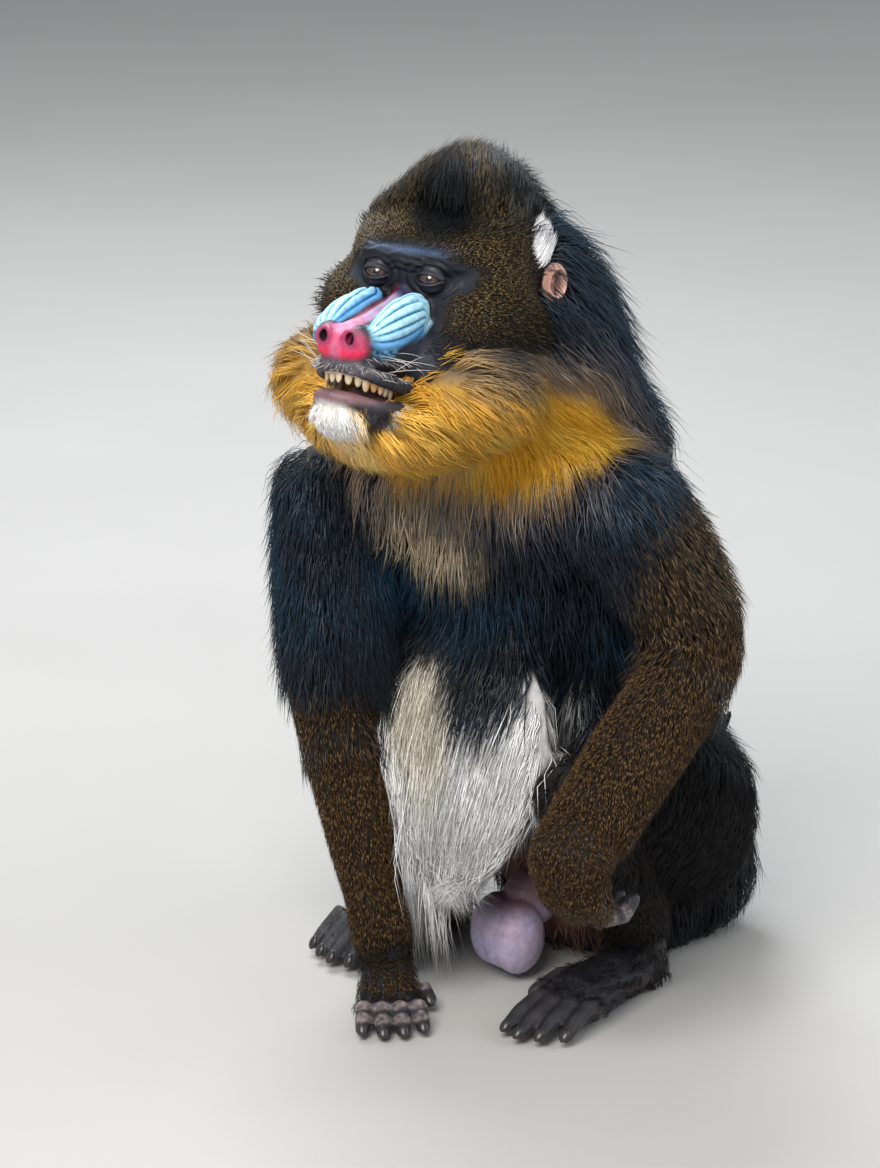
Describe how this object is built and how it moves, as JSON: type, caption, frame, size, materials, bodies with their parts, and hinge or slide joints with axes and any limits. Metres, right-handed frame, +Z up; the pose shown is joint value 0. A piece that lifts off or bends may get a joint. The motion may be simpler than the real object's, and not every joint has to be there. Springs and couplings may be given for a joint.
{
  "type": "mandrill",
  "caption": "Life-size still model of an adult male mandrill, sitting with one hand on the ground and one forearm resting on a raised knee.",
  "frame": {"origin": "middle of the flat that the rump sits on, on the floor", "axes": "+Z up, -Y the way the knees and feet face, +X the animal's left"},
  "size_m": [0.4031, 0.5504, 0.7307],
  "materials": {
    "abdomen": "long blue-black hair",
    "belly": "long white hair",
    "chest": "long blue-black hair",
    "ear_left": "bare peach-pink skin",
    "ear_right": "bare peach-pink skin",
    "eye_left": "wet brown eye",
    "eye_right": "wet brown eye",
    "foot_left": "black leathery skin",
    "foot_right": "black leathery skin",
    "forearm_left": "dark brown hair with gold specks",
    "forearm_right": "dark brown hair with gold specks",
    "hand_left": "black leathery skin with pale bands",
    "hand_right": "black leathery skin with pale bands",
    "head": "short olive-brown fur with bare blue, red and black skin on the face",
    "jaw": "mauve lip and short grey hair",
    "neck": "long golden and grey hair",
    "pelvis": "navy-black hair",
    "scrotum": "bare lavender skin",
    "shank_left": "dark hair",
    "shank_right": "dark hair",
    "tail": "dark hair",
    "teeth": "yellowish enamel",
    "thigh_left": "navy-black hair",
    "thigh_right": "navy-black hair",
    "upper_arm_left": "blue-black and brown hair",
    "upper_arm_right": "blue-black and brown hair"
  },
  "bodies": {
    "root": {"abdomen": "abdomen", "belly": "belly", "chest": "chest", "ear_left": "ear_left", "ear_right": "ear_right", "eye_left": "eye_left", "eye_right": "eye_right", "foot_left": "foot_left", "foot_right": "foot_right", "forearm_left": "forearm_left", "forearm_right": "forearm_right", "hand_left": "hand_left", "hand_right": "hand_right", "head": "head", "jaw": "jaw", "neck": "neck", "pelvis": "pelvis", "scrotum": "scrotum", "shank_left": "shank_left", "shank_right": "shank_right", "tail": "tail", "teeth": "teeth", "thigh_left": "thigh_left", "thigh_right": "thigh_right", "upper_arm_left": "upper_arm_left", "upper_arm_right": "upper_arm_right"}
  },
  "joints": []
}
